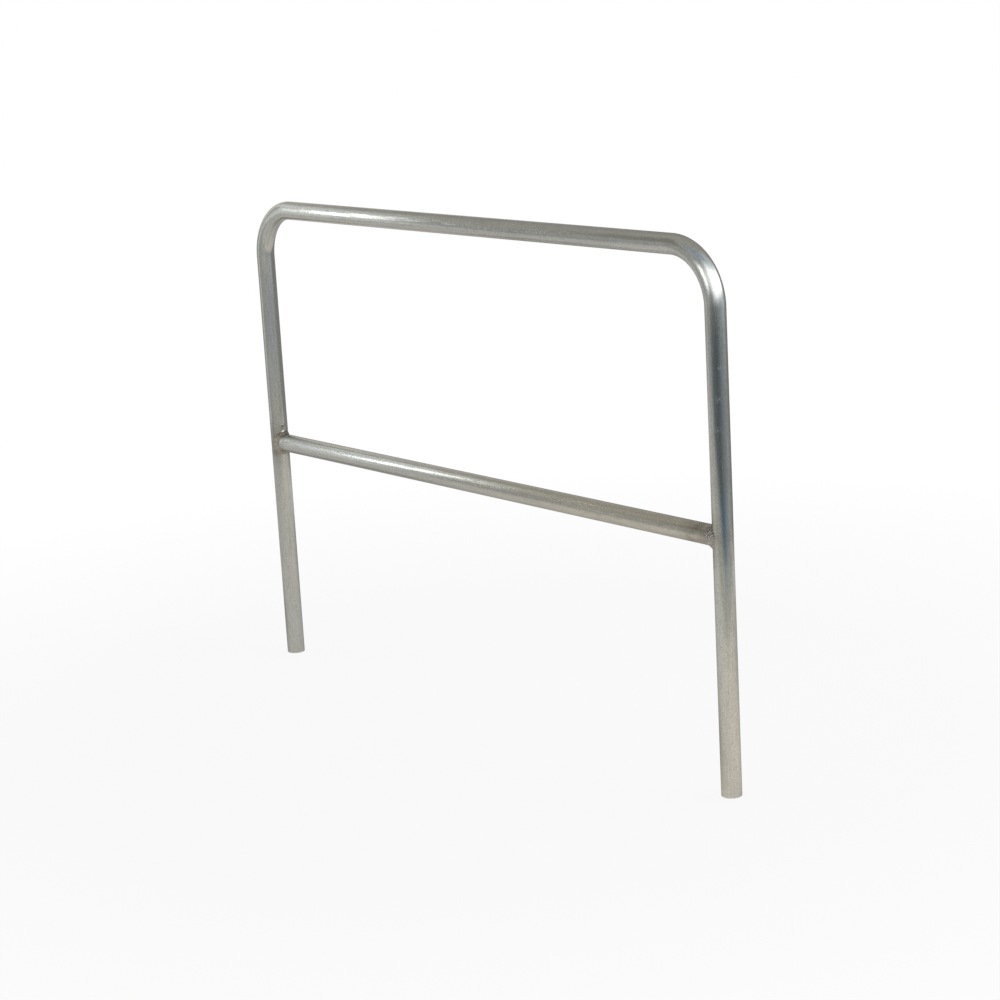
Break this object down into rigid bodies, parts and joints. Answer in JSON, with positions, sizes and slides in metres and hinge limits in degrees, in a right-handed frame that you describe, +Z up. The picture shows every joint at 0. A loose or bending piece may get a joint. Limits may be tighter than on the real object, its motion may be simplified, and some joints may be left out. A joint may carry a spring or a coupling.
{
  "type": "pipe safety railing",
  "caption": "Freestanding pipe safety railing: a tube bent into an inverted U, with a straight mid-rail saddle-cut and welded between its posts.",
  "frame": {"origin": "middle of the left post's foot, in the plane of its cut end, which is the plane both feet stand on", "axes": "+X along the railing from the left post to the right one, +Y through it, away from the side in the picture, +Z up along the posts"},
  "size_m": [1.524, 0.0446, 1.097],
  "materials": {
    "tube": "mill finish, satin, with fine lengthwise drawing lines and light handling scratches",
    "weld": "as welded, rippled, with grey-brown soot beside the bead"
  },
  "bodies": {
    "root": {"hoop": "tube", "mid_rail": "tube", "left_weld": "weld", "right_weld": "weld"}
  },
  "joints": []
}
